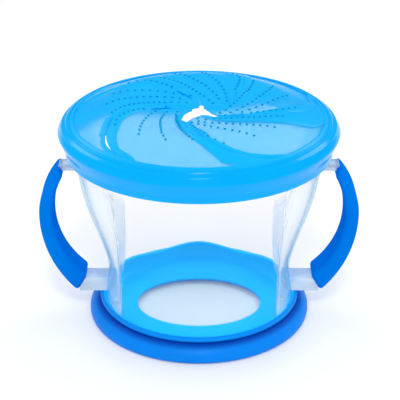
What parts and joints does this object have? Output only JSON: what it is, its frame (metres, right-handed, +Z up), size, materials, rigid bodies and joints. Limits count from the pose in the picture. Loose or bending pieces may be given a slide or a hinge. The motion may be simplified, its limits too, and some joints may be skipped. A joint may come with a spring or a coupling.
{
  "type": "toddler snack container",
  "caption": "Clear toddler snack cup with side handles, soft grips and foot, and a press-on lid whose swirled soft flaps let a small hand in.",
  "frame": {"origin": "middle of the foot's underside, on the surface that the cup stands on", "axes": "+Z up through the lid, +X from the middle to the right handle, -Y to the front of the picture"},
  "size_m": [0.112, 0.0966, 0.0797],
  "materials": {
    "clear_cup": "clear glossy moulded polypropylene",
    "soft_grip": "satin soft overmould",
    "soft_foot": "satin soft overmould",
    "lid_ring": "glossy translucent moulded plastic",
    "soft_top": "translucent soft elastomer with a satin sheen"
  },
  "bodies": {
    "cup": {"cup_body": "clear_cup", "grip_left": "soft_grip", "grip_right": "soft_grip", "foot_ring": "soft_foot"},
    "lid": {"lid_ring": "lid_ring", "flap_rim": "soft_top"},
    "petal_1": {"petal_1": "soft_top"},
    "petal_2": {"petal_2": "soft_top"},
    "petal_3": {"petal_3": "soft_top"},
    "petal_4": {"petal_4": "soft_top"},
    "petal_5": {"petal_5": "soft_top"}
  },
  "joints": [
    {"name": "lid_lift", "type": "slide", "parent": "cup", "child": "lid", "axis": [0, 0, 1], "range_m": [0, 0.06]},
    {"name": "petal_1_fold", "type": "hinge", "parent": "lid", "child": "petal_1", "pos_m": [-0.00101, -0.02898, 0.0795], "axis": [-0.9939, 0.0347, -0.1045], "range_deg": [-10, 55], "stiffness_Nm_per_rad": 0.02},
    {"name": "petal_2_fold", "type": "hinge", "parent": "lid", "child": "petal_2", "pos_m": [0.02725, -0.00992, 0.0795], "axis": [-0.3401, -0.9345, -0.1045], "range_deg": [-10, 55], "stiffness_Nm_per_rad": 0.02},
    {"name": "petal_3_fold", "type": "hinge", "parent": "lid", "child": "petal_3", "pos_m": [0.01785, 0.02285, 0.0795], "axis": [0.7837, -0.6123, -0.1045], "range_deg": [-10, 55], "stiffness_Nm_per_rad": 0.02},
    {"name": "petal_4_fold", "type": "hinge", "parent": "lid", "child": "petal_4", "pos_m": [-0.01622, 0.02404, 0.0795], "axis": [0.8245, 0.5561, -0.1045], "range_deg": [-10, 55], "stiffness_Nm_per_rad": 0.02},
    {"name": "petal_5_fold", "type": "hinge", "parent": "lid", "child": "petal_5", "pos_m": [-0.02788, -0.00799, 0.0795], "axis": [-0.2741, 0.956, -0.1045], "range_deg": [-10, 55], "stiffness_Nm_per_rad": 0.02}
  ]
}
